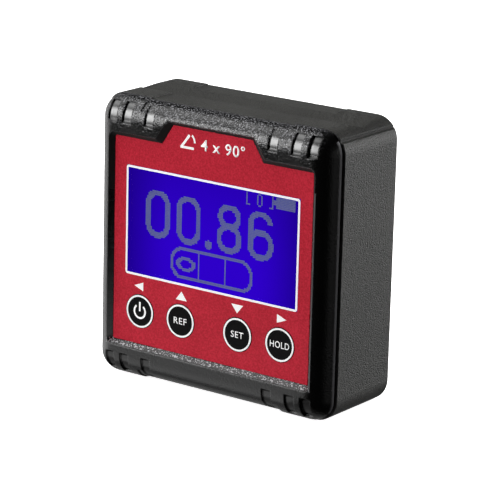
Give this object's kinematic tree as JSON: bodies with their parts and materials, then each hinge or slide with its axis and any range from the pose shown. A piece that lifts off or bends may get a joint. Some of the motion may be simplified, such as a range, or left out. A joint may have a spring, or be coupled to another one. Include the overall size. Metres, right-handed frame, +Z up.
{
  "type": "digital angle gauge",
  "caption": "Square pocket digital inclinometer with a rounded bezel, lit display, a row of round keys and a magnetic base.",
  "frame": {"origin": "middle of the footprint, on the plane that the base pads stand on", "axes": "+Z up, the display faces -Y, +X to the right as seen from the front"},
  "size_m": [0.06, 0.0234, 0.06],
  "materials": {
    "bezel_plastic": "speckled moulded texture",
    "housing_plastic": "fine moulded texture",
    "label_film": "printed film, satin",
    "clear_window": "clear",
    "key_black": "printed, satin",
    "display_blue": "lit display glass",
    "light_guide": "frosted",
    "holder_plastic": "moulded",
    "strip_rubber": "matt",
    "board_green": "solder mask",
    "switch_metal": "stamped",
    "chip_black": "moulded",
    "cell_wrap": "shrunk film",
    "contact_plating": "nickel plated",
    "magnet_plating": "nickel plated",
    "screw_steel": "zinc plated"
  },
  "bodies": {
    "case": {"front_bezel": "bezel_plastic", "rear_housing": "housing_plastic", "front_label": "label_film", "display_window": "clear_window", "display_glass": "display_blue", "backlight": "light_guide", "display_holder": "holder_plastic", "contact_strip": "strip_rubber", "circuit_board": "board_green", "power_switch": "switch_metal", "reference_switch": "switch_metal", "set_switch": "switch_metal", "hold_switch": "switch_metal", "controller_chip": "chip_black", "tilt_sensor": "chip_black", "upper_cell": "cell_wrap", "lower_cell": "cell_wrap", "bridge_contact": "contact_plating", "upper_contact": "contact_plating", "lower_contact": "contact_plating", "left_magnet": "magnet_plating", "right_magnet": "magnet_plating", "housing_screws": "screw_steel"},
    "power_key": {"power_key": "key_black"},
    "reference_key": {"reference_key": "key_black"},
    "set_key": {"set_key": "key_black"},
    "hold_key": {"hold_key": "key_black"},
    "battery_door": {"battery_door": "housing_plastic"}
  },
  "joints": [
    {"name": "power_key_press", "type": "slide", "parent": "case", "child": "power_key", "axis": [0, 1, 0], "range_m": [0, 0.0004], "stiffness_N_per_m": 3000},
    {"name": "reference_key_press", "type": "slide", "parent": "case", "child": "reference_key", "axis": [0, 1, 0], "range_m": [0, 0.0004], "stiffness_N_per_m": 3000},
    {"name": "set_key_press", "type": "slide", "parent": "case", "child": "set_key", "axis": [0, 1, 0], "range_m": [0, 0.0004], "stiffness_N_per_m": 3000},
    {"name": "hold_key_press", "type": "slide", "parent": "case", "child": "hold_key", "axis": [0, 1, 0], "range_m": [0, 0.0004], "stiffness_N_per_m": 3000},
    {"name": "door_hinge", "type": "hinge", "parent": "case", "child": "battery_door", "pos_m": [0, 0.01095, 0.04108], "axis": [1, 0, 0], "range_deg": [0, 90]}
  ]
}
